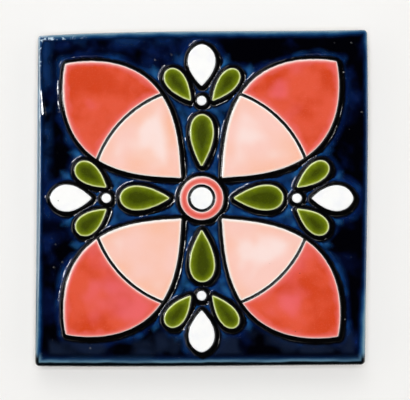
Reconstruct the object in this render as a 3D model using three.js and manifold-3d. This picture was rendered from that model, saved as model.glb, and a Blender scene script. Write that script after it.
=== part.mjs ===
// A square earthenware tile, pressed in one piece: a slab with a moulded ornament raised on its glazed face
// and shallow keying grooves in its bare back. Millimetres. The tile lies face up: the back rests on Z = 0,
// +Z comes out of the face and +Y runs up the face.
import * as THREE from "three";
import { mergeVertices } from "three/addons/utils/BufferGeometryUtils.js";
import Module from "manifold-3d";

const wasm = await Module();
wasm.setup();

// The slab
const width = 149;
const height = 151;
const slabThickness = 11;
const arrisRadius = 2.2;
const cornerRadius = 2.6;
// Hand trimming left each corner this far from the true rectangle, and pulled each side out at its thirds.
const topLeftShift = [0.2, -1.6];
const topRightShift = [0.2, 1.1];
const bottomRightShift = [-0.8, 0.5];
const bottomLeftShift = [-1.1, -0.2];
const topBow = [2.0, -0.2];
const rightBow = [1.3, 0.2];
const bottomBow = [0.2, 0.7];
const leftBow = [-1.2, -1.2];

// The raised ornament: how far it stands off the face, and the lines incised in its top
const relief = 1.5;
const shoulder = 0.8;
const lineWidth = 1.2;
const lineDepth = 0.5;

// The round boss in the middle, with an incised ring between its rim and its eye
const bossRadius = 10;
const bossRimWidth = 4.4;

// Four petals on the diagonals, each crossed by an incised arc
const petalGap = 3;
const petalWidth = 42;
const petalCornerMargin = 19;
const petalRootPoint = 1.15;
const petalTipPoint = 0.85;
const petalInnerPart = 37;

// On each axis, from the side of the tile inwards: a bud, a pair of side leaves, a berry and an inner leaf
const sideMargin = 6;
const budLength = 19;
const budWidth = 12.5;
const budRootPoint = 1;
const budTipPoint = 0.3;
const berryRadius = 2.3;
const berryGap = 4.3;
const sideLeafLength = 17.5;
const sideLeafWidth = 9.4;
const sideLeafSpread = 38;
const sideLeafGap = 2.6;
const innerLeafWidth = 11.5;
const innerLeafRootGap = 4.4;
const innerLeafTipGap = 3.6;
const leafRootPoint = 1;
const leafTipPoint = 0;

// The hand's play in like motifs: in their sizes, and in degrees in the way they lie
const petalSizePlay = 0.8;
const petalTurnPlay = 0.5;
const leafSizePlay = 0.5;
const leafTurnPlay = 1;

// The back's keying grooves
const grooveWidth = 7;
const grooveDepth = 1.2;
const grooveFlare = 1;
const groovePitch = 14;
const grooveMargin = 12;

// How finely the round shapes are drawn
const curveSteps = 180;
const petalSides = 48;
const leafSides = 28;
const arcSides = 96;
const bossSides = 40;
const berrySides = 16;
const roundingSteps = 4;
const edgeSteps = 5;

// A closed geometry as a solid that can be cut and joined.
function solid(geometry) {
  const bare = geometry.index ? geometry.toNonIndexed() : geometry.clone();
  bare.deleteAttribute("normal");
  bare.deleteAttribute("uv");
  const merged = mergeVertices(bare, 1e-4);
  return new wasm.Manifold(
    new wasm.Mesh({
      numProp: 3,
      vertProperties: merged.attributes.position.array,
      triVerts: new Uint32Array(merged.index.array),
    }),
  );
}

// A solid back as a three.js geometry.
function geometryOf(made) {
  const mesh = made.getMesh();
  const geometry = new THREE.BufferGeometry();
  geometry.setAttribute("position", new THREE.BufferAttribute(mesh.vertProperties, 3));
  geometry.setIndex(new THREE.BufferAttribute(mesh.triVerts, 1));
  geometry.computeVertexNormals();
  return geometry;
}

// The hand's play, from -1 to 1, in one trait of motif number n, so that no two of a kind are quite alike.
const TURN = 0;
const LENGTH = 1;
const BREADTH = 2;
function byHand(n, trait) {
  return Math.sin(7.3 * n + 2.9 * trait + 0.9);
}

// The place this far from the middle of the face, in a direction given in degrees.
function polar(radius, degrees) {
  const angle = THREE.MathUtils.degToRad(degrees);
  return new THREE.Vector2(radius * Math.cos(angle), radius * Math.sin(angle));
}

// The outline of a drop's top, inside its shoulder. The drop is rooted at the origin with its tip out along +X,
// and a higher point value sharpens that end.
function dropTop(length, breadth, rootPoint, tipPoint, sides) {
  const half = (turn) =>
    Math.sin(turn) * Math.sin(turn / 2) ** rootPoint * Math.abs(Math.cos(turn / 2)) ** tipPoint;
  const turns = Array.from({ length: curveSteps + 1 }, (_, i) => (Math.PI * i) / curveSteps);
  const toBreadth = (breadth / 2 - shoulder) / Math.max(...turns.map(half));
  const toLength = length / 2 - shoulder;
  const side = turns.map(
    (turn) => new THREE.Vector2(shoulder + toLength * (1 - Math.cos(turn)), toBreadth * half(turn)),
  );
  const edge = new THREE.Path(side).getSpacedPoints(sides / 2);
  const back = edge.slice(1, -1).reverse().map((p) => new THREE.Vector2(p.x, -p.y));
  return new THREE.Shape([...edge, ...back].reverse());
}

// A raised motif, from its top's outline out over a rounded shoulder. It starts in the middle of the slab.
function raised(top, root, degrees) {
  const pad = new THREE.ExtrudeGeometry(top, {
    depth: relief + slabThickness / 2 - 2 * shoulder,
    bevelThickness: shoulder,
    bevelSize: shoulder,
    bevelSegments: roundingSteps / 2,
    steps: 1,
  });
  pad.rotateZ(THREE.MathUtils.degToRad(degrees));
  pad.translate(root.x, root.y, slabThickness / 2 + shoulder);
  return solid(pad);
}

// A profile of [radius, height] points turned about an upright axis at this centre.
function turned(profile, centre, sides) {
  const round = new THREE.LatheGeometry(profile.map(([r, z]) => new THREE.Vector2(r, z)), sides);
  round.rotateX(Math.PI / 2);
  round.translate(centre.x, centre.y, 0);
  return solid(round);
}

// A round motif with a rounded shoulder, for the boss and the berries.
function roundPad(radius, centre, sides) {
  const top = slabThickness + relief;
  const easing = shoulder * (1 - Math.SQRT1_2);
  const profile = [
    [0, slabThickness / 2],
    [radius, slabThickness / 2],
    [radius, top - shoulder],
    [radius - easing, top - easing],
    [radius - shoulder, top],
    [0, top],
  ];
  return turned(profile, centre, sides);
}

// A line incised in a ring about the middle, lineWidth across at the motifs' top and half that at its foot.
function incisedRing(radius, sides) {
  const top = slabThickness + relief;
  const foot = lineWidth / 4;
  const mouth = 3 * foot;
  const profile = [
    [radius - foot, top - lineDepth],
    [radius + foot, top - lineDepth],
    [radius + mouth, top + lineDepth],
    [radius - mouth, top + lineDepth],
    [radius - foot, top - lineDepth],
  ];
  return turned(profile, new THREE.Vector2(), sides);
}

// A quarter turn comes out round when its Bezier handles lie this share of the way to the corner.
const roundHandle = (4 / 3) * (Math.SQRT2 - 1);

// The slab's hand-trimmed outline, with its bounding box centred on the origin.
function slabOutline() {
  const corner = (sideX, sideY, shift) =>
    new THREE.Vector2((sideX * width) / 2 + shift[0], (sideY * height) / 2 + shift[1]);
  const corners = [
    corner(-1, 1, topLeftShift),
    corner(1, 1, topRightShift),
    corner(1, -1, bottomRightShift),
    corner(-1, -1, bottomLeftShift),
  ];
  const bows = [topBow, rightBow, bottomBow, leftBow];
  const outline = new THREE.Path();
  corners.forEach((start, i) => {
    const end = corners[(i + 1) % 4];
    const along = end.clone().sub(start).normalize();
    const outward = new THREE.Vector2(-along.y, along.x);
    const reach = start.distanceTo(end);
    const from = start.clone().addScaledVector(along, cornerRadius);
    const to = end.clone().addScaledVector(along, -cornerRadius);
    const [first, second] = bows[i].map((bow, k) =>
      start.clone().addScaledVector(along, (reach * (k + 1)) / 3).addScaledVector(outward, bow),
    );
    if (i === 0) outline.moveTo(from.x, from.y);
    outline.bezierCurveTo(first.x, first.y, second.x, second.y, to.x, to.y);
    const beyond = corners[(i + 2) % 4].clone().sub(end).normalize();
    const rounded = end.clone().addScaledVector(beyond, cornerRadius);
    const entering = to.clone().lerp(end, roundHandle);
    const leaving = rounded.clone().lerp(end, roundHandle);
    outline.bezierCurveTo(entering.x, entering.y, leaving.x, leaving.y, rounded.x, rounded.y);
  });
  const points = outline.getPoints(edgeSteps);
  points.pop();
  const middle = new THREE.Box2().setFromPoints(points).getCenter(new THREE.Vector2());
  return new THREE.Shape(points.map((p) => p.sub(middle)).reverse());
}

// The slab: its front arris is rounded over, and its back is pressed flat and left sharp.
function slab() {
  const body = new THREE.ExtrudeGeometry(slabOutline(), {
    depth: slabThickness,
    bevelThickness: arrisRadius,
    bevelSize: arrisRadius,
    bevelOffset: -arrisRadius,
    bevelSegments: roundingSteps,
    steps: 1,
  });
  body.translate(0, 0, -arrisRadius);
  const below = new THREE.BoxGeometry(2 * width, 2 * height, 4 * arrisRadius);
  below.translate(0, 0, -2 * arrisRadius);
  return solid(body).subtract(solid(below));
}

// One keying groove across the back, wider at its mouth by the flare on each side.
function groove(y) {
  const length = width - 2 * grooveMargin;
  const section = new THREE.Shape([
    new THREE.Vector2(-grooveWidth / 2, -grooveDepth),
    new THREE.Vector2(grooveWidth / 2, -grooveDepth),
    new THREE.Vector2(grooveWidth / 2, 0),
    new THREE.Vector2(grooveWidth / 2 - grooveFlare, grooveDepth),
    new THREE.Vector2(-grooveWidth / 2 + grooveFlare, grooveDepth),
    new THREE.Vector2(-grooveWidth / 2, 0),
  ]);
  const cut = new THREE.ExtrudeGeometry(section, { depth: length, bevelEnabled: false });
  cut.rotateX(Math.PI / 2);
  cut.rotateZ(Math.PI / 2);
  cut.translate(-length / 2, y, 0);
  return solid(cut);
}

// The grooves lie evenly either side of a land across the middle of the back.
function grooves() {
  const perHalf = Math.floor((height / 2 - grooveMargin) / groovePitch);
  const places = Array.from({ length: perHalf }, (_, i) => (i + 0.5) * groovePitch);
  return places.flatMap((y) => [groove(y), groove(-y)]);
}

// The boss, with the ring that sets off its eye.
function boss() {
  return roundPad(bossRadius, new THREE.Vector2(), bossSides).subtract(
    incisedRing(bossRadius - bossRimWidth, bossSides),
  );
}

// A petal reaches from the boss towards a corner, and the incised arc crosses it.
function petal(k) {
  const root = bossRadius + petalGap;
  const reach = Math.hypot(width / 2, height / 2) - petalCornerMargin - root;
  const degrees = 45 + 90 * k + petalTurnPlay * byHand(k, TURN);
  const length = reach + petalSizePlay * byHand(k, LENGTH);
  const breadth = petalWidth + petalSizePlay * byHand(k, BREADTH);
  const top = dropTop(length, breadth, petalRootPoint, petalTipPoint, petalSides);
  return raised(top, polar(root, degrees), degrees).subtract(
    incisedRing(root + petalInnerPart, arcSides),
  );
}

// What stands on one axis. The motifs are numbered on from the four petals, four to an axis.
function palmette(k) {
  const degrees = 90 * k;
  const [bud, leftLeaf, rightLeaf, innerLeaf] = [4, 5, 6, 7].map((n) => n + 4 * k);
  const turn = (n) => leafTurnPlay * byHand(n, TURN);
  const longer = (n) => leafSizePlay * byHand(n, LENGTH);
  const broader = (n) => leafSizePlay * byHand(n, BREADTH);

  const budRoot = (k % 2 === 0 ? width : height) / 2 - sideMargin - budLength;
  const budTop = dropTop(budLength, budWidth + broader(bud), budRootPoint, budTipPoint, leafSides);
  const berryAt = budRoot - berryGap - berryRadius;

  const leaf = (length, breadth, root, angle) =>
    raised(dropTop(length, breadth, leafRootPoint, leafTipPoint, leafSides), root, angle);
  const sideLeaf = (side, n) =>
    leaf(
      sideLeafLength + longer(n),
      sideLeafWidth + broader(n),
      polar(berryAt, degrees).add(polar(berryRadius + sideLeafGap, degrees + 90 * side)),
      degrees + side * sideLeafSpread + turn(n),
    );

  const innerRoot = bossRadius + innerLeafRootGap;
  const innerLength = berryAt - berryRadius - innerLeafTipGap - innerRoot;
  return [
    raised(budTop, polar(budRoot, degrees), degrees),
    sideLeaf(1, leftLeaf),
    sideLeaf(-1, rightLeaf),
    roundPad(berryRadius, polar(berryAt, degrees), berrySides),
    leaf(innerLength, innerLeafWidth + broader(innerLeaf), polar(innerRoot, degrees), degrees + turn(innerLeaf)),
  ];
}

const quarters = [0, 1, 2, 3];
const ornament = [boss(), ...quarters.map(petal), ...quarters.flatMap(palmette)];
const groovedSlab = grooves().reduce((whole, cut) => whole.subtract(cut), slab());
const tileSolid = ornament.reduce((whole, motif) => whole.add(motif), groovedSlab);

const glazedEarthenware = new THREE.MeshStandardMaterial({ color: 0x0a2350, roughness: 0.12, metalness: 0 });
const tile = new THREE.Mesh(geometryOf(tileSolid), glazedEarthenware);
tile.name = "tile";

const part = new THREE.Group();
part.add(tile);
export default part;
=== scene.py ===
import math

import bpy
import numpy as np
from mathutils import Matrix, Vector
from mathutils.geometry import delaunay_2d_cdt


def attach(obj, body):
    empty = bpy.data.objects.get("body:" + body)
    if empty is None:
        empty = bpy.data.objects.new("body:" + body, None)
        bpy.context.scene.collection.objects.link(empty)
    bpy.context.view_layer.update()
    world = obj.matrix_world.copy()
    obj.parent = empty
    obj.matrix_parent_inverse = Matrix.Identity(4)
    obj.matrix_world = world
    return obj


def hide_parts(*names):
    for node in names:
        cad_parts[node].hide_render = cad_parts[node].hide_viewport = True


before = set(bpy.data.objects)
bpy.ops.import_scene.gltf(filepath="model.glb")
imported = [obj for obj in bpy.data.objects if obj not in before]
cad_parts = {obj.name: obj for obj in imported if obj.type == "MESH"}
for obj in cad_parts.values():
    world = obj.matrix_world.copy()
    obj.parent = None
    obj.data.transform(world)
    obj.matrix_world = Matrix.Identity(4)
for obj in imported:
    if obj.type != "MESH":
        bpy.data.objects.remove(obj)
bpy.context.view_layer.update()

# The slab is one piece of earthenware clay, pressed in a mould and trimmed by hand, so its sides bow a little
# and its corners are a little out of true. Its front arris is rounded over. The tile's sizes are millimetres,
# and lists of its corners or sides start at the top left and go round clockwise.
MM = 0.001
WIDTH = 149.0
HEIGHT = 151.0
THICKNESS = 11.0
ARRIS = 2.2
CORNER_TRIM = (1.4, 2.0, 2.1, 2.1)
CORNER_SHIFTS = ((0.2, -1.6), (0.2, 1.1), (-0.8, 0.5), (-1.1, -0.2))
SIDE_BOWS = ((2.0, -0.2), (1.3, 0.2), (0.2, 0.7), (-1.2, -1.2))
ROUND_HANDLE = 4 / 3 * (math.sqrt(2) - 1)
SIDE_STEPS = 170
CORNER_STEPS = 10


def bezier(a, b, c, d, steps):
    """Points along a cubic curve from a up to, but without, d."""
    t = np.linspace(0, 1, steps, endpoint=False)[:, None]
    return a * (1 - t) ** 3 + 3 * b * t * (1 - t) ** 2 + 3 * c * t * t * (1 - t) + d * t ** 3


def trimmed_outline():
    """The slab's outline, clockwise from the top left corner, with its bounding box centred on the origin."""
    signs = ((-1, 1), (1, 1), (1, -1), (-1, -1))
    corners = [
        np.array((sx * WIDTH / 2 + dx, sy * HEIGHT / 2 + dy))
        for (sx, sy), (dx, dy) in zip(signs, CORNER_SHIFTS)
    ]
    points = []
    for i, start in enumerate(corners):
        end, beyond = corners[(i + 1) % 4], corners[(i + 2) % 4]
        trim = CORNER_TRIM[(i + 1) % 4]
        reach = np.linalg.norm(end - start)
        along = (end - start) / reach
        outward = np.array((-along[1], along[0]))
        thirds = (start + along * reach * (k + 1) / 3 + outward * bow for k, bow in enumerate(SIDE_BOWS[i]))
        leave, arrive = start + along * CORNER_TRIM[i], end - along * trim
        onward = end + (beyond - end) / np.linalg.norm(beyond - end) * trim
        points.append(bezier(leave, *thirds, arrive, SIDE_STEPS))
        handles = arrive + (end - arrive) * ROUND_HANDLE, onward + (end - onward) * ROUND_HANDLE
        points.append(bezier(arrive, *handles, onward, CORNER_STEPS))
    outline = np.concatenate(points)
    return outline - (outline.min(0) + outline.max(0)) / 2


def outward_of(curve):
    """The unit vector that points out of a clockwise closed curve at each of its points."""
    along = np.roll(curve, -1, 0) - np.roll(curve, 1, 0)
    out = np.stack((-along[:, 1], along[:, 0]), 1)
    return out / np.linalg.norm(out, axis=1, keepdims=True)


outline = trimmed_outline()
outline_out = outward_of(outline)
rim_count = len(outline)
span = np.abs(outline).max(0)


# Every motif is a pad raised on the face with a rounded shoulder, pressed with the slab. It is kept as the
# closed curve that its foot draws on the face, with the name of its kind. The mould was cut by hand, so the
# petals, buds and leaves differ a little.
RELIEF = 1.5
SHOULDER = 0.8
FOOT_STEP = 0.66
FOOT_TURN = 0.24
FAN_TURN = 0.12
DROP_STEPS = 241
ROUND_STEPS = 96
TURN, LENGTH, BREADTH = range(3)
motifs = []


def by_hand(n, trait):
    """The hand's play, from -1 to 1, in one trait of motif number n."""
    return math.sin(7.3 * n + 2.9 * trait + 0.9)


def polar(radius, degrees):
    """The place this far from the middle of the face, in a direction given in degrees."""
    return radius * np.array((math.cos(math.radians(degrees)), math.sin(math.radians(degrees))))


def drop_top(length, breadth, root_point, tip_point):
    """The outline of a drop's top, inside its shoulder, counter-clockwise from its root at the origin."""
    turn = np.linspace(0, math.pi, DROP_STEPS)
    half = np.sin(turn) * np.sin(turn / 2) ** root_point * np.abs(np.cos(turn / 2)) ** tip_point
    x = SHOULDER + (length / 2 - SHOULDER) * (1 - np.cos(turn))
    y = half * (breadth / 2 - SHOULDER) / half.max()
    side = np.stack((x, -y), 1)
    return np.concatenate((side, side[-2:0:-1] * (1, -1)))


def round_top(radius):
    """The outline of a round motif's top, inside its shoulder."""
    turn = np.linspace(0, math.tau, ROUND_STEPS, endpoint=False)
    return (radius - SHOULDER) * np.stack((np.cos(turn), np.sin(turn)), 1)


def course(curve):
    """For each point of a closed curve: how far the next one is, its heading, and how far the curve turns."""
    ahead = np.roll(curve, -1, 0) - curve
    headings = np.arctan2(ahead[:, 1], ahead[:, 0])
    turns = (headings - np.roll(headings, 1) + math.pi) % math.tau - math.pi
    return np.hypot(*ahead.T), headings, turns


def foot_of(top):
    """The curve a shoulder's width outside a top, clockwise, with its points closer where it turns."""
    _, headings, turns = course(top)
    foot = []
    for place, heading, turn in zip(top, headings, turns):
        fan = max(1, math.ceil(turn / FAN_TURN))
        for share in (np.arange(fan) + 0.5) / fan:
            angle = heading - turn * (1 - share) - math.pi / 2
            foot.append(place + SHOULDER * np.array((math.cos(angle), math.sin(angle))))
    foot = np.array(foot)
    gaps, _, turns = course(foot)
    turns = np.abs(turns)
    pace = gaps / FOOT_STEP + (turns + np.roll(turns, -1)) / 2 / FOOT_TURN
    gone = np.concatenate(([0], np.cumsum(pace)))
    count = round(gone[-1])
    wanted = np.arange(count) / count * gone[-1]
    closed = np.concatenate((foot, foot[:1]))
    return np.stack([np.interp(wanted, gone, closed[:, axis]) for axis in (0, 1)], 1)[::-1]


def raise_motif(kind, top, root, degrees):
    """Turns a top to its direction, carries it to its root and keeps its foot."""
    c, s = math.cos(math.radians(degrees)), math.sin(math.radians(degrees))
    motifs.append((kind, foot_of(top) @ np.array(((c, s), (-s, c))) + root))


# The boss stands in the middle of the face: a coral rim round a white eye. It is pressed with the slab, and
# an incised ring sets the eye off.
BOSS_RADIUS = 10.0
BOSS_RIM = 4.4
EYE_RADIUS = BOSS_RADIUS - BOSS_RIM

raise_motif("boss", round_top(BOSS_RADIUS), (0, 0), 0)


# Four petals lie on the diagonals, pressed with the slab and filled with two glazes. An incised arc parts the
# coral tip of each from its pink root.
PETAL_GAP = 3.0
PETAL_WIDTH = 42.0
PETAL_CORNER_MARGIN = 19.0
PETAL_POINTS = (1.15, 0.85)
PETAL_INNER_PART = 37.0
PETAL_SIZE_PLAY = 0.8
PETAL_TURN_PLAY = 0.5
PETAL_ROOT = BOSS_RADIUS + PETAL_GAP
ARC_RADIUS = PETAL_ROOT + PETAL_INNER_PART

for k in range(4):
    degrees = 45 + 90 * k + PETAL_TURN_PLAY * by_hand(k, TURN)
    reach = math.hypot(WIDTH / 2, HEIGHT / 2) - PETAL_CORNER_MARGIN - PETAL_ROOT
    length = reach + PETAL_SIZE_PLAY * by_hand(k, LENGTH)
    breadth = PETAL_WIDTH + PETAL_SIZE_PLAY * by_hand(k, BREADTH)
    raise_motif("petal", drop_top(length, breadth, *PETAL_POINTS), polar(PETAL_ROOT, degrees), degrees)


# A palmette stands on each axis, pressed with the slab. From the side inwards it is a white bud, two green
# side leaves, a white berry and a green inner leaf. Its buds and leaves are numbered on from the petals.
SIDE_MARGIN = 6.0
BUD_LENGTH = 19.0
BUD_WIDTH = 12.5
BUD_POINTS = (1.0, 0.3)
BERRY_RADIUS = 2.3
BERRY_GAP = 4.3
SIDE_LEAF_LENGTH = 17.5
SIDE_LEAF_WIDTH = 9.4
SIDE_LEAF_SPREAD = 38.0
SIDE_LEAF_GAP = 2.6
INNER_LEAF_WIDTH = 11.5
INNER_LEAF_ROOT_GAP = 4.4
INNER_LEAF_TIP_GAP = 3.6
LEAF_POINTS = (1.0, 0.0)
LEAF_SIZE_PLAY = 0.5
LEAF_TURN_PLAY = 1.0


def raise_leaf(n, length, width, root, degrees):
    """A green leaf, number n of the motifs."""
    top = drop_top(length, width + LEAF_SIZE_PLAY * by_hand(n, BREADTH), *LEAF_POINTS)
    raise_motif("leaf", top, root, degrees + LEAF_TURN_PLAY * by_hand(n, TURN))


for k in range(4):
    degrees = 90 * k
    bud, left, right, inner = range(4 * k + 4, 4 * k + 8)
    bud_root = (WIDTH, HEIGHT)[k % 2] / 2 - SIDE_MARGIN - BUD_LENGTH
    berry_at = bud_root - BERRY_GAP - BERRY_RADIUS
    bud_breadth = BUD_WIDTH + LEAF_SIZE_PLAY * by_hand(bud, BREADTH)
    raise_motif("bud", drop_top(BUD_LENGTH, bud_breadth, *BUD_POINTS), polar(bud_root, degrees), degrees)
    raise_motif("berry", round_top(BERRY_RADIUS), polar(berry_at, degrees), degrees)
    for side, n in ((1, left), (-1, right)):
        length = SIDE_LEAF_LENGTH + LEAF_SIZE_PLAY * by_hand(n, LENGTH)
        root = polar(berry_at, degrees) + polar(BERRY_RADIUS + SIDE_LEAF_GAP, degrees + 90 * side)
        raise_leaf(n, length, SIDE_LEAF_WIDTH, root, degrees + side * SIDE_LEAF_SPREAD)
    inner_root = BOSS_RADIUS + INNER_LEAF_ROOT_GAP
    inner_length = berry_at - BERRY_RADIUS - INNER_LEAF_TIP_GAP - inner_root
    raise_leaf(inner, inner_length, INNER_LEAF_WIDTH, polar(inner_root, degrees), degrees)


# A run of thick glaze stands as a low ridge beside the left edge, high on the face. It was left there as the
# glaze drained. It grows narrower and comes nearer the edge on its way up.
RUN_LOW = 37.2
RUN_HIGH = 49.0
RUN_BAND = (0.5, 5.5)
RUN_STEP_ACROSS = 0.24
RUN_STEP_ALONG = 0.6
RUN_INSETS = (3.65, 2.45)
RUN_WIDTHS = (1.0, 0.5)
RUN_STEEPNESS = 0.52
RUN_LOW_END = (-0.8, 0.4)
RUN_HIGH_END = (-0.5, 2.0)


def smooth(value, low, high):
    """0 below low, 1 above high, and an even bend between them."""
    share = np.clip((value - low) / (high - low), 0, 1)
    return share * share * (3 - 2 * share)


def run_height(points):
    """How high the run of glaze stands at each place of the face."""
    x, y = points.T
    inset = np.interp(y, (RUN_LOW, RUN_HIGH), RUN_INSETS)
    width = np.interp(y, (RUN_LOW, RUN_HIGH), RUN_WIDTHS)
    ridge = RUN_STEEPNESS * width * np.exp(-((x + WIDTH / 2 - inset) / width) ** 2)
    ridge *= smooth(y - RUN_LOW, *RUN_LOW_END)
    return ridge * (1 - smooth(y - RUN_HIGH, *RUN_HIGH_END))


# The face is one skin of glaze over the pressed clay. Its points lie in rows along every contour, close where
# it bends and wide apart where it lies flat, so that shoulders, black channels and lips come out clean.
POOL_ROWS = (-2.4, -1.9, -1.45, -1.1, -0.8, -0.6, -0.42, -0.25, -0.1, 0)
CHANNEL_ROWS = (0.14, 0.5, 0.9, 1.2, 1.45, 1.65, 1.85, 2.05, 2.3, 2.55, 2.85, 3.3)
FOOT_ROWS = POOL_ROWS + CHANNEL_ROWS
LINE_ROWS = (0, 0.3, 0.55, 0.8, 1.2, 1.7)
LINE_STEP = 0.6
ARRIS_ROWS = (0.05, 0.15, 0.3, 0.5, 0.75, 1.0, 1.25, 1.6, 2.1, 2.7, 3.4)
LINE_END = 0.2
LINE_SLACK = 0.1
OPEN_STEP = 0.92
OPEN_ROW_STEP = OPEN_STEP * 0.87
ROW_GAP = 0.3
SAME_ROW = 0.02
SAME_PLACE = 0.09
SURVEY_REACH = 12.0
AT_ONCE = 3000
FAR = 99.0
FROM_LIGHT = np.array((1, -1)) / math.sqrt(2)
kinds = np.array([kind for kind, _ in motifs] + [""])


def nearest(curve, points):
    """For each point: how far the closed curve is, the unit vector away from it, and whether it's inside."""
    start, ahead = curve, np.roll(curve, -1, 0) - curve
    length2 = (ahead ** 2).sum(1)
    far, away = np.empty(len(points)), np.empty((len(points), 2))
    within = np.empty(len(points), bool)
    for first in range(0, len(points), AT_ONCE):
        part = slice(first, first + AT_ONCE)
        offset = points[part, None] - start
        share = np.clip((offset * ahead).sum(2) / length2, 0, 1)
        offset -= share[..., None] * ahead
        gap = np.hypot(offset[..., 0], offset[..., 1])
        best = gap.argmin(1)
        row = np.arange(len(best))
        far[part] = gap[row, best]
        away[part] = offset[row, best]
        y = points[part, None, 1] - start[:, 1]
        crosses = (y >= 0) != (y >= ahead[:, 1])
        with np.errstate(divide="ignore", invalid="ignore"):
            reach = y * ahead[:, 0] / ahead[:, 1] + start[:, 0]
        within[part] = (crosses & (points[part, None, 0] < reach)).sum(1) % 2 == 1
    return far, away / np.maximum(far, 1e-9)[:, None], within


def survey(points):
    """For each point of the face: how far outside the nearest motif's foot it is, which one that is, on which
    side of it the point lies, from -1 towards the light to 1 away from it, and how far the next motif is."""
    edge, beyond = np.full(len(points), FAR), np.full(len(points), FAR)
    owner, lee = np.full(len(points), -1), np.zeros(len(points))
    for i, (_, foot) in enumerate(motifs):
        low, high = foot.min(0) - SURVEY_REACH, foot.max(0) + SURVEY_REACH
        near = ((points > low) & (points < high)).all(1).nonzero()[0]
        far, away, within = nearest(foot, points[near])
        signed = np.where(within, -far, far)
        closer = signed < edge[near]
        beyond[near] = np.where(closer, edge[near], np.minimum(beyond[near], signed))
        took = near[closer]
        edge[took] = signed[closer]
        owner[took] = i
        facing = np.where(within, -1, 1)[:, None] * away
        lee[took] = (facing @ FROM_LIGHT)[closer]
    return edge, owner, lee, beyond


def line_distance(points, owner):
    """How far the nearest incised line of its own motif is from each point."""
    radius = np.hypot(*points.T)
    from_ring = np.where(kinds[owner] == "boss", np.abs(radius - EYE_RADIUS), FAR)
    return np.where(kinds[owner] == "petal", np.abs(radius - ARC_RADIUS), from_ring)


def rows_along(curve, out, rows):
    """Copies of a curve moved out by each of the rows."""
    return np.concatenate([curve + out * row for row in rows])


def rows_of_lines():
    """Points in rows along the incised lines: the eye's ring and the arc across each petal."""
    rows = []
    for radius in (EYE_RADIUS, ARC_RADIUS):
        turn = np.linspace(0, math.tau, round(math.tau * radius / LINE_STEP), endpoint=False)
        circle = np.stack((np.cos(turn), np.sin(turn)), 1)
        for row in sorted({sign * row for row in LINE_ROWS for sign in (-1, 1)}):
            rows.append(circle * (radius + row))
    return np.concatenate(rows)


def net(places, rim):
    """Triangles between the places, of which the rim comes first. None of them lies outside the rim."""
    cut = delaunay_2d_cdt([Vector(place) for place in places], [], [], 0, 1e-7, False)
    if len(cut[0]) != len(places):
        raise RuntimeError("two places fell together")
    triangles = np.array(cut[2])
    on_rim = (triangles < len(rim)).all(1).nonzero()[0]
    _, _, within = nearest(rim, places[triangles[on_rim]].mean(1))
    return np.delete(triangles, on_rim[~within], 0)


along_run = np.arange(RUN_LOW - 2, RUN_HIGH + 2, RUN_STEP_ALONG)
across_run = np.arange(*RUN_BAND, RUN_STEP_ACROSS) - WIDTH / 2
run_places = np.stack(np.meshgrid(across_run, along_run, indexing="ij"), 2).reshape(-1, 2)
arris_places = rows_along(outline[::2], outline_out[::2], [-row for row in ARRIS_ROWS])
across = [np.arange(-reach, reach, step) for reach, step in zip(span, (OPEN_STEP, OPEN_ROW_STEP))]
open_places = np.stack(np.meshgrid(*across), 2)
open_places[1::2, :, 0] += OPEN_STEP / 2
foot_places = np.concatenate([rows_along(foot, outward_of(foot), FOOT_ROWS) for _, foot in motifs])

OUTLINE, FOOT, LINE, EDGE, OPEN = range(5)
groups = (
    outline,
    foot_places,
    rows_of_lines(),
    np.concatenate((arris_places, run_places)),
    open_places.reshape(-1, 2),
)
group = np.repeat(range(len(groups)), [len(part) for part in groups])
places = np.concatenate(groups)
own_row = np.full(len(places), FAR)
own_row[group == FOOT] = np.concatenate([np.repeat(FOOT_ROWS, len(foot)) for _, foot in motifs])

edge, owner, lee, beyond = survey(places)
line = line_distance(places, owner)
line[edge > 0] = FAR
side, _, on_slab = nearest(outline[::4], places)
side[group == OUTLINE] = 0

keep = (group == OUTLINE) | (group == EDGE)
keep |= (group == FOOT) & (np.abs(edge - own_row) < SAME_ROW)
keep |= (group == LINE) & (edge < -LINE_END) & (line < LINE_ROWS[-1] + LINE_SLACK)
is_open = (group == OPEN) & on_slab & (side > ARRIS_ROWS[-1] + ROW_GAP) & (line > LINE_ROWS[-1] + ROW_GAP)
keep |= is_open & ((edge > FOOT_ROWS[-1] + ROW_GAP) | (edge < FOOT_ROWS[0] - ROW_GAP))
kept = keep.nonzero()[0]
cells = np.round(places[kept] / SAME_PLACE).astype(int)
_, first_in_cell = np.unique(cells, axis=0, return_index=True)
kept = kept[np.sort(first_in_cell)]
places, edge, owner, lee, beyond, line, side = (
    array[kept] for array in (places, edge, owner, lee, beyond, line, side)
)
skin = net(places, outline)


# The motifs stand on the slab with round shoulders, and the glaze dips a little in each pool. A black channel
# is sunk round every motif, and the ground glaze stands up in a lip beside it. Pressing and glaze never lie
# dead even, so slow waves of a few sizes run through them.
CHANNEL_DEPTH = 0.16
CHANNEL_WIDTH = 1.6
CHANNEL_LEE = 0.5
CHANNEL_PLAY = 0.12
BANK_RISE = (-0.2, 0.45)
LIP_HEIGHT = 0.33
LIP_WIDTH = 0.55
LIP_LEE = 0.35
LIP_PLAY = 0.5
WALL_RUN = 0.14
POOL_DIP = 0.12
POOL_DIP_RUN = 1.2
POOL_PLAY = 0.02
GROUND_PLAY = 0.05
LINE_DEPTH = 0.46
LINE_HALF = 0.42
ARRIS_RUN = 0.82
WAVES = 9


def uneven(points, size, seed):
    """Slow waves of about this size over the given places, from -1 to 1 and the same at every firing."""
    draw = np.random.default_rng(seed)
    angles, phases = draw.uniform(0, math.tau, WAVES), draw.uniform(0, math.tau, WAVES)
    total = np.zeros(len(points))
    for angle, phase, stretch in zip(angles, phases, np.linspace(0.6, 1.6, WAVES)):
        total += np.sin((points @ (math.cos(angle), math.sin(angle))) * math.tau / size / stretch + phase)
    return total / (WAVES / 2)


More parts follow.
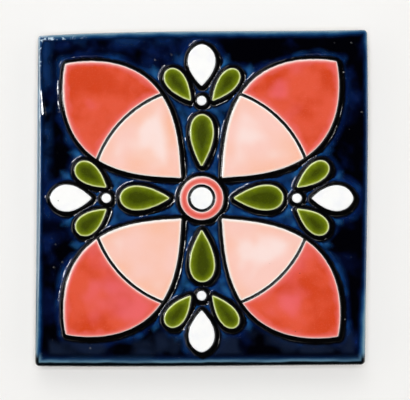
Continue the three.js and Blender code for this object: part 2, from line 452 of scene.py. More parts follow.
def bank_place(points, lee):
    """How far from a motif's foot the channel ends and the ground glaze begins."""
    return CHANNEL_WIDTH + CHANNEL_LEE * lee + CHANNEL_PLAY * uneven(points, 5, 4)


def motif_height(points, edge, line):
    """The height of a motif: its rounded shoulder, the dip of its pool and its incised line."""
    inside = np.maximum(-edge, 0)
    dip = POOL_DIP * (1 - np.exp(-np.maximum(inside - SHOULDER, 0) / POOL_DIP_RUN))
    pool = POOL_PLAY * uneven(points, 14, 3) - dip
    bend = np.sqrt(np.clip(1 - ((SHOULDER - np.minimum(inside, SHOULDER)) / SHOULDER) ** 2, 0, 1))
    top = THICKNESS + RELIEF - SHOULDER + SHOULDER * bend + np.minimum(pool, 0)
    return top - LINE_DEPTH * np.exp(-(line / LINE_HALF) ** 2)


def ground_height(points, edge, lee):
    """The height of the ground: the channel round each motif, the lip beside it and the open glaze."""
    outside = np.maximum(edge, 0)
    off_bank = outside - bank_place(points, lee)
    floor = THICKNESS - CHANNEL_DEPTH
    height = floor + CHANNEL_DEPTH * smooth(off_bank, *BANK_RISE)
    lip = LIP_HEIGHT * (1 - LIP_LEE - LIP_LEE * lee)
    lip *= np.clip(0.8 + LIP_PLAY * uneven(points, 15, 5), 0.1, 1.2)
    height += lip * np.exp(-((off_bank - LIP_WIDTH) / LIP_WIDTH) ** 2)
    height += GROUND_PLAY * uneven(points, 17, 6) * smooth(outside, 2, 5)
    wall = THICKNESS + RELIEF - SHOULDER - floor
    return height + wall * (1 - smooth(outside, 0, WALL_RUN))


height = np.where(edge <= 0, motif_height(places, edge, line), ground_height(places, edge, lee))
height += run_height(places)
rolled = np.clip(1 - side / ARRIS_RUN, 0, 1)
height -= ARRIS * (1 - np.sqrt(1 - rolled ** 2))
shelf = THICKNESS - ARRIS
height[:rim_count] = shelf


# The edges of the slab are glazed down to a wavy line just over the back, where the glaze was wiped off and
# then ran into a few drips in the kiln. Below that line the clay is bare, and its lower corner is rubbed off.
GLAZE_STOP = 1.7
GLAZE_STOP_PLAY = 0.4
GLAZE_THICKNESS = 0.16
LOWEST_STOP = 0.55
FOOT_BEVEL = 0.4
EDGE_PLAY = 0.06
EDGE_SHARES = (0.16, 0.4, 0.7, 1)
GLAZE_ROLL = 0.7
DRIPS = 13
DRIP_LENGTHS = (0.5, 1.1)
DRIP_WIDTHS = (1, 2.4)

way = np.concatenate(([0], np.cumsum(np.linalg.norm(np.roll(outline, -1, 0) - outline, axis=1))))
girth, way = way[-1], way[:-1]
stop = GLAZE_STOP + GLAZE_STOP_PLAY * uneven(outline, 26, 7)
chance = np.random.default_rng(8)
drip_places = chance.uniform(0, girth, DRIPS)
drip_lengths = chance.uniform(*DRIP_LENGTHS, DRIPS)
drip_widths = chance.uniform(*DRIP_WIDTHS, DRIPS)
for place, length, width in zip(drip_places, drip_lengths, drip_widths):
    gap = (way - place + girth / 2) % girth - girth / 2
    stop -= length * np.exp(-(gap / width) ** 2)
stop = np.maximum(stop, LOWEST_STOP)
wander = EDGE_PLAY * (1 + uneven(outline, 30, 9))
bare = wander + GLAZE_THICKNESS

levels_and_insets = [
    (shelf + (stop + GLAZE_ROLL - shelf) * share, wander * min(1, share * 2)) for share in EDGE_SHARES
]
levels_and_insets += [(stop + 0.35, wander * 0.4), (stop + 0.1, wander * 0.6 + 0.03), (stop, bare)]
glazed_rows = len(levels_and_insets)
on_back = np.zeros(rim_count)
levels_and_insets += [(stop * 0.55, bare + 0.02), (on_back + 0.22, bare + 0.08), (on_back, bare + FOOT_BEVEL)]
edge_rings = [
    np.column_stack((outline - outline_out * inset[:, None], level)) for level, inset in levels_and_insets
]


# The back is bare clay, flat but for a slow unevenness of the press. Eight pressed grooves with sloping sides
# key the mortar.
GROOVES = 8
GROOVE_PITCH = 14.0
GROOVE_WIDTH = 7.0
GROOVE_DEPTH = 1.2
GROOVE_FLARE = 1.0
GROOVE_MARGIN = 12.0
GROOVE_ROWS = (-0.2, 0.15, 0.85, 1.2)
GROOVE_STEP = 2.2
GROOVE_CLEAR = (-0.9, 2)
BACK_STEP = 5.0
BACK_MARGIN = 3.0
BACK_PLAY = 0.04
BACK_PLAY_MARGIN = 6.0
groove_ys = [(i - (GROOVES - 1) / 2) * GROOVE_PITCH for i in range(GROOVES)]
groove_reach = WIDTH / 2 - GROOVE_MARGIN


def groove_inset(points):
    """How far inside the mouth of the nearest groove each place of the back is."""
    off = np.abs(points[:, 1, None] - groove_ys).min(1)
    return np.minimum(GROOVE_WIDTH / 2 - off, groove_reach - np.abs(points[:, 0]))


back_rim = edge_rings[-1][:, :2]
back_places = [back_rim]
for y in groove_ys:
    for row in GROOVE_ROWS:
        x_reach, y_reach = groove_reach - row, GROOVE_WIDTH / 2 - row
        xs = np.linspace(-x_reach, x_reach, round(2 * x_reach / GROOVE_STEP))
        ys = np.linspace(-y_reach, y_reach, 5)[1:-1]
        back_places += [np.column_stack((xs, np.full(len(xs), y + sign * y_reach))) for sign in (-1, 1)]
        back_places += [np.column_stack((np.full(len(ys), sign * x_reach), y + ys)) for sign in (-1, 1)]
across = [np.arange(-reach + BACK_MARGIN, reach - BACK_MARGIN, BACK_STEP) for reach in span]
grid = np.stack(np.meshgrid(*across), 2).reshape(-1, 2)
_, _, on_slab = nearest(outline[::4], grid)
inset = groove_inset(grid)
back_places.append(grid[on_slab & ((inset < GROOVE_CLEAR[0]) | (inset > GROOVE_CLEAR[1]))])
back_places = np.concatenate(back_places)
back_height = GROOVE_DEPTH * smooth(groove_inset(back_places), -0.1, GROOVE_FLARE + 0.1)
lies_inside = np.abs(back_places[:, 0]) < groove_reach + BACK_PLAY_MARGIN
back_height += BACK_PLAY * (1 + uneven(back_places, 24, 10)) * lies_inside
back_height = np.maximum(back_height, 0)
back_height[:rim_count] = 0
under = net(back_places, back_rim)


# Skin, edges and back meet point to point and make one closed piece. Each triangle takes the finish that was
# painted there: a pool of coral, pink, green or white, the blue of ground and edges, or the bare clay. The
# finishes are fired below in this order.
CORAL, PINK, GREEN, WHITE, BLUE, BARE = range(6)

face_points = np.column_stack((places, height))
back_points = np.column_stack((back_places, back_height))[rim_count:]
points = np.concatenate((face_points, *edge_rings, back_points))
ring_starts = [0] + [len(places) + i * rim_count for i in range(len(edge_rings))]
here = np.arange(rim_count)
onward = (here + 1) % rim_count
edges = []
for upper, lower in zip(ring_starts, ring_starts[1:]):
    edges.append(np.column_stack((upper + here, upper + onward, lower + onward)))
    edges.append(np.column_stack((upper + here, lower + onward, lower + here)))
edges = np.concatenate(edges)
under = (under + ring_starts[-1])[:, ::-1]
triangles = np.concatenate((skin, edges, under))

in_pool = edge[skin].mean(1) < 0
kind = np.where(in_pool, kinds[owner[skin].max(1)], "")
radius = np.hypot(*places[skin].mean(1).T)
face_finish = np.select(
    (kind == "petal", kind == "boss", kind == "leaf", in_pool),
    (np.where(radius > ARC_RADIUS, CORAL, PINK), np.where(radius > EYE_RADIUS, CORAL, WHITE), GREEN, WHITE),
    BLUE,
)
ring_finish = np.where(np.arange(len(edge_rings)) < glazed_rows, BLUE, BARE)
finish = np.concatenate((face_finish, np.repeat(ring_finish, 2 * rim_count), np.full(len(under), BARE)))

mesh = bpy.data.meshes.new("glazed_tile")
mesh.from_pydata(points * MM, [], triangles.tolist())
mesh.polygons.foreach_set("use_smooth", np.ones(len(triangles), bool))
mesh.polygons.foreach_set("material_index", finish)


# The glazes are mixed by distances that the piece keeps: how deep in its pool a place lies, how far it is
# past the black channel and in from the slab's edge, and how far from the next motif. On the side of petals
# and boss that faces the light, the pale rim spreads up to twice as far into the pool as a painted highlight.
# On the side away from the light the black reaches further past the channel as painted shade.
BLACK_INSIDE = 0.16
BLACK_LINE = 0.7
BLACK_OUTSIDE = 0.12
LEE_SHADE_REACH = 0.6
HIGHLIGHT_SPREAD = 0.5
HIGHLIGHT_SPREAD_ENDS = (0.7, 2.4)

pool_depth = -edge - BLACK_INSIDE
# The rim's wider spread on the side that faces the light is a painted highlight.
highlight_spread = HIGHLIGHT_SPREAD * smooth(-lee, -0.1, 0.9) * np.isin(kinds[owner], ("petal", "boss"))
pool_depth = pool_depth * (1 - highlight_spread * (1 - smooth(pool_depth, *HIGHLIGHT_SPREAD_ENDS)))
# The black reaches further on the side away from the light: painted shade.
bank = bank_place(places, lee) + BLACK_OUTSIDE + LEE_SHADE_REACH * smooth(lee, 0.1, 0.8)
measures = (
    ("rim_mm", np.minimum(pool_depth, line - BLACK_LINE), -FAR),
    ("bank_mm", edge - bank, FAR),
    ("side_mm", side, 0),
    ("between_mm", beyond, FAR),
)
for name, on_face, elsewhere in measures:
    values = np.full(len(points), elsewhere, np.float32)
    values[:len(places)] = on_face
    mesh.attributes.new(name, "FLOAT", "POINT").data.foreach_set("value", values)


# The flat pattern of the piece: the face as it lies, its four edges as strips above it, and the back to the
# right of it, smaller.
FACE_SHARE = 0.77 / (2 * span.max())
BACK_SHARE = 0.19 / (2 * span.max())
PATTERN_GAP = 0.012
STRIPS_FROM = 0.79
STRIP_PITCH = 0.048
BACK_FROM = 0.8

side_count = rim_count // 4
strip = np.tile(here // side_count, 2)
runs = np.column_stack((way, np.append(way[1:], girth)))
run = np.concatenate((runs[:, (0, 1, 1)], runs[:, (0, 1, 0)])) - way[side_count * strip][:, None]
face_flat = (places[skin] + span) * FACE_SHARE + PATTERN_GAP
edge_flat = np.stack((np.tile(run, (len(edge_rings), 1)), points[edges][:, :, 2]), 2) * FACE_SHARE
edge_flat += PATTERN_GAP
edge_flat[:, :, 1] += STRIPS_FROM + np.tile(strip, len(edge_rings))[:, None] * STRIP_PITCH
back_flat = (points[under][:, :, :2] + span) * BACK_SHARE + (BACK_FROM, PATTERN_GAP)
flat_pattern = mesh.uv_layers.new(name="OFBake")
flat_pattern.data.foreach_set("uv", np.concatenate((face_flat, edge_flat, back_flat)).ravel())
mesh.update()


# Each colour is painted inside its black line and fired to a glossy pool. It stands thin and pale at its rim
# and deeper in the middle, with soft clouds, a fine mottle and a few pinholes.
STUDIO_WHITE = 0.9


class Finish:
    """One fired finish: a material, with the steps that mix its colour, its gloss and its surface."""

    def __init__(self, name):
        self.material = bpy.data.materials.new(name)
        self.material.use_nodes = True
        self.tree = self.material.node_tree
        self.shader = self.tree.nodes["Principled BSDF"]
        self.shader.inputs["IOR"].default_value = 1.65
        self.place = self.step("ShaderNodeTexCoord").outputs["Object"]

    def fill(self, socket, value):
        """Puts a number, a colour or another node's output into a socket."""
        if isinstance(value, bpy.types.NodeSocket):
            self.tree.links.new(value, socket)
        else:
            socket.default_value = value

    def step(self, kind, inputs=(), **settings):
        """Adds one node, with its settings, and fills its inputs."""
        node = self.tree.nodes.new(kind)
        for name, value in settings.items():
            setattr(node, name, value)
        for socket, value in dict(inputs).items():
            self.fill(node.inputs[socket], value)
        return node

    def reckon(self, operation, first, *others):
        """The result of a sum, a product or a comparison of two or more values."""
        for other in others:
            first = self.step("ShaderNodeMath", {0: first, 1: other}, operation=operation).outputs[0]
        return first

    def plus(self, *values):
        """The sum of the values."""
        return self.reckon("ADD", *values)

    def times(self, *values):
        """The product of the values."""
        return self.reckon("MULTIPLY", *values)

    def measure(self, name):
        """A distance in millimetres that the mesh carries."""
        return self.step("ShaderNodeAttribute", attribute_name=name).outputs["Fac"]

    def spot(self):
        """The place on the tile in millimetres: to the right, up the face and out of the back."""
        parts = self.step("ShaderNodeSeparateXYZ", {"Vector": self.place})
        return [self.times(parts.outputs[axis], 1 / MM) for axis in "XYZ"]

    def clouds(self, size, seed, detail=3.0, roughness=0.5):
        """Soft clouds of about this size in millimetres, from 0 to 1."""
        inputs = {"Vector": self.place, "W": seed, "Scale": 1 / (size * MM)}
        inputs.update({"Detail": detail, "Roughness": roughness})
        return self.step("ShaderNodeTexNoise", inputs, noise_dimensions="4D").outputs["Fac"]

    def wander(self, reach, size, seed, detail=3.0, middle=0.5):
        """Soft clouds that go to both sides of nothing, this far from their lowest to their highest."""
        return self.times(self.plus(self.clouds(size, seed, detail), -middle), reach)

    def cells(self, size):
        """Scattered cells of this size: how far the middle of its own is from each place, and its lot."""
        node = self.step("ShaderNodeTexVoronoi", {"Vector": self.place, "Scale": 1 / (size * MM)})
        return node.outputs["Distance"], node.outputs["Color"]

    def share(self, value, low, high, less=0, more=1, curve="SMOOTHSTEP"):
        """From less where the value is low to more where it is high, with an even bend between."""
        inputs = {"Value": value, "From Min": low, "From Max": high, "To Min": less, "To Max": more}
        return self.step("ShaderNodeMapRange", inputs, interpolation_type=curve).outputs["Result"]

    def grade(self, value, stops):
        """Colours laid out along a value, each at its own place, with even blends between."""
        low, high = stops[0][0], stops[-1][0]
        ramp = self.step("ShaderNodeValToRGB", {"Fac": self.share(value, low, high, curve="LINEAR")})
        elements = ramp.color_ramp.elements
        while len(elements) < len(stops):
            elements.new(1)
        for element, (place, colour) in zip(elements, stops):
            element.position = (place - low) / (high - low)
            element.color = colour
        return ramp.outputs["Color"]

    def lay(self, under, over, share):
        """One colour laid over another by a share from 0 to 1."""
        return self.step("ShaderNodeMix", {0: share, 6: under, 7: over}, data_type="RGBA").outputs[2]

    def surface(self, *layers):
        """Bumps laid one over another, each as the height that it makes and how deep it is in millimetres."""
        normal = None
        for height, depth in layers:
            bump = self.step("ShaderNodeBump", {"Height": height, "Distance": depth * MM})
            if normal is not None:
                self.fill(bump.inputs["Normal"], normal)
            normal = bump.outputs["Normal"]
        return normal

    def fire(self, colour, roughness, normal):
        """Gives the shader its colour, gloss and surface, and the tile this finish as its next one."""
        self.fill(self.shader.inputs["Base Color"], colour)
        self.fill(self.shader.inputs["Roughness"], roughness)
        self.fill(self.shader.inputs["Normal"], normal)
        mesh.materials.append(self.material)


def fired(red, green, blue):
    """A fired colour as it looks under the studio's light, from 0 to 255 a channel."""
    shares = (channel / 255 for channel in (red, green, blue))
    linear = (share / 12.92 if share < 0.04 else ((share + 0.055) / 1.055) ** 2.4 for share in shares)
    return (*(STUDIO_WHITE * value for value in linear), 1)


LINE_BLACK = fired(2, 2, 3)
LINE_WORN = fired(15, 13, 11)
RIM_WHITE = fired(252, 248, 246)


def worn_black(glaze, seed):
    """The black of the lines, a little worn in fine patches."""
    return glaze.lay(LINE_BLACK, LINE_WORN, glaze.share(glaze.clouds(0.7, seed), 0.5, 0.8))


def pool(name, seed, body, rim_stops, mottle, pinhole_pitch):
    """A pool of glaze inside its black line: a thin pale rim, the body colour, soft mottling and pinholes."""
    glaze = Finish(name)
    depth = glaze.plus(glaze.measure("rim_mm"), glaze.wander(0.34, 2.2, seed))
    rim_share = glaze.share(depth, rim_stops[-1][0], rim_stops[0][0] + 0.3)
    colour = glaze.lay(body(glaze, depth), glaze.grade(depth, rim_stops), rim_share)
    colour = glaze.lay(colour, mottle, glaze.share(glaze.clouds(0.5, seed + 1, 4, 0.6), 0.52, 0.95))
    from_middle, lot = glaze.cells(pinhole_pitch)
    pinhole = glaze.times(glaze.share(from_middle, 0.045, 0.02), glaze.share(lot, 0.62, 0.66))
    colour = glaze.lay(colour, LINE_WORN, glaze.times(pinhole, 0.75))
    black = glaze.share(depth, 0.04, -0.05)
    colour = glaze.lay(colour, worn_black(glaze, seed + 2), black)
    gloss = glaze.share(glaze.clouds(5, seed + 3), 0.2, 0.8, 0.06, 0.12, "LINEAR")
    roughness = glaze.plus(gloss, glaze.times(black, 0.04))
    slow, fine = glaze.clouds(7, seed + 4, 2), glaze.clouds(0.8, seed + 5, 2)
    glaze.fire(colour, roughness, glaze.surface((slow, 0.12), (fine, 0.006), (pinhole, -0.05)))


# The coral glaze fills the tips of the petals and the rim of the boss. It fires orange red where it is thick,
# with rose patches, and goes rose and then nearly white at its rim.
def coral_body(glaze, depth):
    """Orange red with hotter clouds, rose patches and a rose border that strays inwards."""
    hot = glaze.share(glaze.clouds(15, 5.7, 2.5), 0.4, 0.62)
    body = glaze.lay(fired(228, 84, 54), fired(214, 64, 18), hot)
    patches = glaze.share(glaze.clouds(24, 3.1, 2), 0.55, 0.7, 0, 0.7)
    body = glaze.lay(body, fired(240, 104, 112), patches)
    stray = glaze.plus(depth, glaze.times(glaze.clouds(6, 8.8), -5.0))
    return glaze.lay(body, fired(232, 98, 90), glaze.share(stray, 1.0, -1.6, 0, 0.8))


CORAL_RIM = (
    (0, fired(248, 234, 230)),
    (0.28, fired(246, 204, 198)),
    (0.55, fired(240, 146, 138)),
    (1.7, fired(230, 98, 84)),
)
pool("coral_glaze", 11, coral_body, CORAL_RIM, fired(236, 120, 100), 6.5)


# The pink glaze fills the roots of the petals. It is the coral one thinned with white, warm in some places
# and paler in others where the pool is deep.
def pink_body(glaze, depth):
    """Pink with warmer clouds, and paler ones away from the rim."""
    warm = glaze.share(glaze.clouds(26, 13.4, 2), 0.38, 0.66)
    body = glaze.lay(fired(253, 204, 192), fired(252, 190, 162), warm)
    pale = glaze.times(glaze.share(glaze.clouds(20, 15.9, 2), 0.46, 0.7), glaze.share(depth, 2, 8))
    return glaze.lay(body, fired(254, 226, 219), pale)


PINK_RIM = (
    (0, RIM_WHITE),
    (0.35, fired(252, 238, 230)),
    (0.7, fired(252, 214, 198)),
    (1.8, fired(252, 197, 176)),
)
pool("pink_glaze", 21, pink_body, PINK_RIM, fired(254, 216, 204), 7.0)


# The green glaze fills the leaves. It is the most transparent of the glazes, so it shows its depth: yellow
# green and thin at the rim, dark olive in the middle.
def green_body(glaze, depth):
    """Green that darkens with its depth, unevenly."""
    deep = glaze.plus(depth, glaze.times(glaze.clouds(3.5, 23.3, 3), 3.2), -0.5)
    return glaze.grade(deep, (
        (1.2, fired(150, 166, 44)),
        (1.9, fired(112, 128, 8)),
        (2.9, fired(88, 102, 2)),
        (4.8, fired(58, 68, 2)),
    ))


GREEN_RIM = (
    (0, fired(232, 238, 196)),
    (0.4, fired(212, 222, 142)),
    (0.75, fired(164, 178, 58)),
    (1.1, fired(128, 144, 20)),
)
pool("green_glaze", 31, green_body, GREEN_RIM, fired(120, 136, 20), 9.0)


# The white glaze fills the buds, the berries and the eye of the boss. It is opaque and bright, a little cool
# in places.
def white_body(glaze, depth):
    """White with faint cool clouds."""
    cool = glaze.share(glaze.clouds(6, 35.2, 2), 0.4, 0.75)
    return glaze.lay(fired(254, 254, 252), fired(246, 247, 250), cool)


# The outermost rim goes grey blue: thin glaze, and partly painted shade.
WHITE_RIM = ((0, fired(222, 226, 232)), (0.3, fired(250, 250, 250)), (0.8, fired(254, 254, 252)))
pool("white_glaze", 41, white_body, WHITE_RIM, fired(255, 255, 255), 9.0)


# The ground is a thick dark blue glaze, nearly black where it pools in the open. It runs lighter where it is
# thin: beside the black line, in the narrow places between motifs and towards the top left corner. A slate
# blue lies in patches over the lower edge, partly thin glaze and partly a painted reflection.
TOP_LEFT = Vector((-WIDTH / 2, HEIGHT / 2, THICKNESS)) * MM
ground = Finish("blue_glaze")
bank = ground.measure("bank_mm")
inset = ground.measure("side_mm")
rightward, upright, high = ground.spot()
from_corner = ground.step("ShaderNodeVectorMath", {0: ground.place, 1: TOP_LEFT}, operation="DISTANCE")
from_corner = ground.times(from_corner.outputs["Value"], 1 / MM)

cobalt = ground.lay(fired(3, 13, 48), fired(10, 36, 94), ground.share(ground.clouds(8, 62, 3), 0.4, 0.7))
left_edge = ground.times(ground.share(inset, 13, 2), ground.share(rightward, 30, -60), 0.06)
open_blue = ground.share(ground.plus(ground.clouds(22, 52, 3), left_edge), 0.47, 0.72)
night = ground.lay(fired(0, 0, 4), cobalt, open_blue)
thin = ground.lay(fired(4, 26, 74), fired(14, 60, 114), ground.share(ground.clouds(8, 53, 2), 0.45, 0.72))
past_bank = ground.plus(bank, ground.wander(10.0, 13, 51, 2, 0.48))
colour = ground.lay(thin, night, ground.share(past_bank, -0.6, 3.8))

mild = ground.lay(fired(14, 58, 112), fired(32, 96, 152), ground.share(ground.clouds(5.5, 64, 2), 0.42, 0.68))
between = ground.share(ground.measure("between_mm"), 7.5, 3.2, 0, 0.85)
colour = ground.lay(colour, mild, ground.times(between, ground.share(bank, 0.2, 1.6)))

corner_clouds = ground.share(ground.clouds(9, 68, 2), 0.35, 0.6)
corner_blue = ground.times(ground.share(from_corner, 92, 35), ground.share(inset, 8, 3), corner_clouds)
colour = ground.lay(colour, fired(12, 44, 90), corner_blue)
# Slate blue patches over the lower edge: partly thin glaze, partly a painted reflection.
slate_patch_clouds = ground.share(ground.clouds(13, 70, 2), 0.42, 0.6, 0, 0.85)
low_sheen_and_thin_glaze = ground.times(ground.share(upright, -57, -65), ground.share(inset, 4.0, 7.2), slate_patch_clouds)
colour = ground.lay(colour, fired(19, 30, 52), low_sheen_and_thin_glaze)

# Over the rounded arris the same glaze thins from the face outwards, through blue and teal to the pale clay,
# and its pale outer band is partly a painted reflection. The pale rim is widest along the top and low on the
# two sides, and over the left one lies a painted highlight, whiter higher up.
ROLLED_COLOURS = (
    (0.0, fired(116, 148, 166)),
    (0.5, fired(80, 118, 144)),
    (1.0, fired(36, 82, 122)),
    (1.5, fired(12, 53, 95)),
    (2.1, fired(1, 25, 62)),
    (3.2, fired(1, 5, 26)),
)
at_left = ground.share(rightward, -68, -72)
at_right = ground.share(rightward, 60, 68)
at_top = ground.share(upright, 64, 71, 0, 0.65)
low_right = ground.times(ground.share(upright, -34, -54, -0.5, 0.9), at_right)
low_left = ground.times(ground.share(upright, -20, -60, -0.45, 0.55), at_left)
widened = ground.plus(low_right, at_top, low_left)
ripple = ground.wander(1.5, 6, 55)
reach = ground.plus(inset, ripple, ground.times(widened, -1))
rolled = ground.grade(reach, ROLLED_COLOURS)
# A painted highlight lies over the left arris, whiter higher up.
left_arris_highlight_colour = ground.lay(fired(122, 146, 162), fired(184, 204, 220), ground.share(upright, -56, -30))
left_arris_highlight = ground.times(at_left, ground.share(inset, 1.25, 0.65), 0.75)
rolled = ground.lay(rolled, left_arris_highlight_colour, left_arris_highlight)

# Along the lower arris light and shade are painted: black on the overhang as painted shadow, then a teal band
# as a painted reflection, which wavers and dulls in places, and a blue fall back into the ground.
LOW_ARRIS_SHADOW_AND_REFLECTION = (
    (0.0, fired(1, 3, 5)),
    (1.3, fired(1, 6, 9)),
    (1.65, fired(16, 30, 40)),
    (2.05, fired(88, 122, 138)),
    (2.45, fired(84, 120, 144)),
    (2.95, fired(44, 80, 108)),
    (3.4, fired(16, 46, 80)),
    (4.1, fired(5, 26, 60)),
    (5.2, fired(4, 14, 38)),
    (7.0, fired(4, 7, 16)),
)
at_bottom = ground.share(upright, 6.5 - HEIGHT / 2, 2.6 - HEIGHT / 2)
low_reach = ground.plus(inset, ground.times(ripple, 0.55), ground.wander(2.0, 30, 67, 2))
low_arris_shadow_and_reflection = ground.grade(low_reach, LOW_ARRIS_SHADOW_AND_REFLECTION)
dull_clouds = ground.share(ground.clouds(17, 69, 2), 0.5, 0.66, 0, 0.45)
dulled = ground.times(dull_clouds, ground.share(low_reach, 1.5, 1.9))
low_arris_shadow_and_reflection = ground.lay(low_arris_shadow_and_reflection, fired(24, 52, 80), dulled)
over_low = ground.times(ground.share(low_reach, 7.8, 4.6), at_bottom)
over_arris = ground.reckon("MAXIMUM", ground.share(reach, 3.8, 1.8), over_low)
colour = ground.lay(colour, ground.lay(rolled, low_arris_shadow_and_reflection, at_bottom), over_arris)

# Small pale glints are painted on the arris as highlights, most of them by the top left corner. The edges
# below the arris are streaked, and the black line frays a little into the ground.
glint_spots = ground.share(ground.clouds(1.5, 56, 3), 0.55, 0.63)
near_corner = ground.share(from_corner, 26, 8)
elsewhere = ground.share(ground.clouds(15, 63, 2), 0.62, 0.7)
on_arris = ground.times(ground.share(reach, 2.2, 1.6), ground.share(reach, 0.4, 0.8))
arris_glints = ground.times(glint_spots, ground.reckon("MAXIMUM", near_corner, elsewhere), on_arris)
colour = ground.lay(colour, fired(196, 216, 232), arris_glints)

drawn_out = ground.step("ShaderNodeVectorMath", {0: ground.place, 1: (1, 1, 0.25)}, operation="MULTIPLY")
streak_inputs = {"Vector": drawn_out.outputs["Vector"], "Scale": 1 / (4 * MM), "Detail": 4.0}
streaks = ground.step("ShaderNodeTexNoise", streak_inputs).outputs["Fac"]
edge_colours = ((0.35, fired(3, 12, 38)), (0.5, fired(8, 32, 70)), (0.68, fired(34, 78, 112)))
colour = ground.lay(colour, ground.grade(streaks, edge_colours), ground.share(high, shelf, shelf - 1.2))

# The black's edge comes from bank_mm, so it too reaches further on the side away from the light: painted
# shade.
frayed = ground.plus(bank, ground.wander(0.9, 2.5, 65, 3))
black = ground.share(frayed, 1.0, -0.25)
colour = ground.lay(colour, worn_black(ground, 57), black)
roughness = ground.plus(ground.times(ground.clouds(4, 58), 0.08), 0.03, ground.times(black, 0.03))
from_middle, lot = ground.cells(2.6)
blisters = ground.times(ground.share(from_middle, 0.2, 0), ground.share(lot, 0.74, 0.8))
slow, fine, grit = ground.clouds(6, 59, 2), ground.clouds(1.3, 60, 2), ground.clouds(0.25, 61)
ground.fire(colour, roughness, ground.surface((slow, 0.2), (fine, 0.012), (grit, 0.003), (blisters, 0.2)))


# The clay of the back and of the lowest part of the edges was left bare: pale buff, dry, with fine grog and a
# little blue that the sponge left behind.
clay = Finish("bare_clay")
colour = clay.lay(fired(206, 184, 152), fired(226, 206, 176), clay.clouds(12, 71, 4))
grog = clay.share(clay.clouds(0.45, 72, 2), 0.62, 0.72, 0, 0.6)
colour = clay.lay(colour, fired(168, 138, 104), grog)
smear = clay.share(clay.clouds(16, 73, 5, 0.65), 0.6, 0.72, 0, 0.35)
colour = clay.lay(colour, fired(130, 146, 160), smear)
roughness = clay.plus(clay.times(clay.clouds(2, 74), 0.2), 0.72)
slow, grain = clay.clouds(5, 75, 3), clay.clouds(0.5, 76, 4, 0.65)
clay.fire(colour, roughness, clay.surface((slow, 0.1), (grain, 0.05)))

tile = bpy.data.objects.new("glazed_tile", mesh)
bpy.context.scene.collection.objects.link(tile)
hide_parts("tile")
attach(tile, "root")


# The tile lies face up on a plain pale floor of matt paper, which isn't part of it and reaches far past the
# camera's view on all sides. Floor and lights are sized in metres.
FLOOR_REACH = 2.5
floor_corners = [(x * FLOOR_REACH, y * FLOOR_REACH, 0) for x, y in ((-1, -1), (1, -1), (1, 1), (-1, 1))]
floor_mesh = bpy.data.meshes.new("floor")
floor_mesh.from_pydata(floor_corners, [], [(0, 1, 2, 3)])
paper = bpy.data.materials.new("pale_paper")
paper.use_nodes = True
paper_inputs = paper.node_tree.nodes["Principled BSDF"].inputs
paper_inputs["Base Color"].default_value = fired(246, 245, 243)
paper_inputs["Roughness"].default_value = 0.9
paper_inputs["Specular IOR Level"].default_value = 0.2
floor_mesh.materials.append(paper)
floor = bpy.data.objects.new("floor", floor_mesh)
bpy.context.scene.collection.objects.link(floor)


# Two soft lights from above light the colours and the floor, and have no mirror image in the glaze. Four
# panels show only as gleams in the glaze: a long one and a small lamp on the left, one at the top and one at
# the right.
def soft_light(name, bearing, height, away, width, depth, power):
    """A light panel that faces the tile from a bearing, in degrees from +X, at a height in degrees."""
    data = bpy.data.lights.new(name, "AREA")
    data.shape = "RECTANGLE"
    data.size = width
    data.size_y = depth
    data.energy = power
    light = bpy.data.objects.new(name, data)
    rise, turn = math.radians(height), math.radians(bearing)
    toward = Vector((math.cos(rise) * math.cos(turn), math.cos(rise) * math.sin(turn), math.sin(rise)))
    light.location = away * toward
    light.rotation_euler = (-light.location).to_track_quat("-Z", "Y").to_euler()
    bpy.context.scene.collection.objects.link(light)
    return light


soft_light("overhead", 90, 89, 1.5, 0.8, 0.8, 19.8).visible_glossy = False
soft_light("window", 98, 46, 2.0, 1.0, 1.0, 6.2).visible_glossy = False
soft_light("long_panel", 145, 45, 2.4, 2.6, 0.18, 27).visible_diffuse = False
soft_light("lamp", 174, 40, 0.8, 0.055, 0.34, 1.05).visible_diffuse = False
soft_light("top_panel", 80, 30, 2.0, 2.0, 0.8, 4).visible_diffuse = False
soft_light("right_panel", -25, 44, 2.0, 2.2, 1.1, 7).visible_diffuse = False


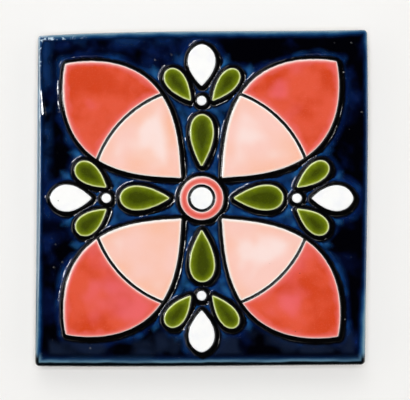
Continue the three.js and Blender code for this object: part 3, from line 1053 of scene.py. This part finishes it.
# The room glows in a low ring and is dim overhead, so that the dark glaze stays dark. Low down beyond the
# lower edge of the tile it is dark as well, and the lower arris mirrors that.
ROOM_WHITE = (1.0, 0.995, 0.985, 1)
room = bpy.data.worlds.new("room")
room.use_nodes = True
sky = room.node_tree
directions = sky.nodes.new("ShaderNodeTexCoord")
parts = sky.nodes.new("ShaderNodeSeparateXYZ")
sky.links.new(directions.outputs["Generated"], parts.inputs["Vector"])


def sky_share(axis, low, high, low_value, high_value):
    """A share of the room's glow that changes with the direction along one axis."""
    share = sky.nodes.new("ShaderNodeMapRange")
    share.interpolation_type = "SMOOTHSTEP"
    limits = {"From Min": low, "From Max": high, "To Min": low_value, "To Max": high_value}
    for socket, value in limits.items():
        share.inputs[socket].default_value = value
    sky.links.new(parts.outputs[axis], share.inputs["Value"])
    return share.outputs["Result"]


def sky_reckon(operation, first, second):
    """The result of a sum or comparison of two shares."""
    node = sky.nodes.new("ShaderNodeMath")
    node.operation = operation
    sky.links.new(first, node.inputs[0])
    sky.links.new(second, node.inputs[1])
    return node.outputs[0]


ring = sky_share("Z", 0.45, 0.85, 0.66, 0.008)
not_in_front = sky_share("Y", -0.75, -0.3, 0, 1)
not_low = sky_share("Z", 0.62, 0.74, 0, 1)
glow = sky_reckon("MULTIPLY", ring, sky_reckon("MAXIMUM", not_in_front, not_low))
sky.links.new(glow, sky.nodes["Background"].inputs["Strength"])
sky.nodes["Background"].inputs["Color"].default_value = ROOM_WHITE
bpy.context.scene.world = room
bpy.context.scene.view_settings.view_transform = "Standard"


# The camera looks straight down on the face, a little off the middle, and takes in a strip of floor all round
# the tile.
LENS = 120.0
SENSOR = 36.0
FRAME_WIDTH = 185.6
AIM = (1.52, -0.81)
camera_data = bpy.data.cameras.new("camera")
camera_data.lens = LENS
camera_data.sensor_width = SENSOR
camera = bpy.data.objects.new("camera", camera_data)
camera.location = Vector((*AIM, shelf + FRAME_WIDTH * LENS / SENSOR)) * MM
bpy.context.scene.collection.objects.link(camera)
bpy.context.scene.camera = camera
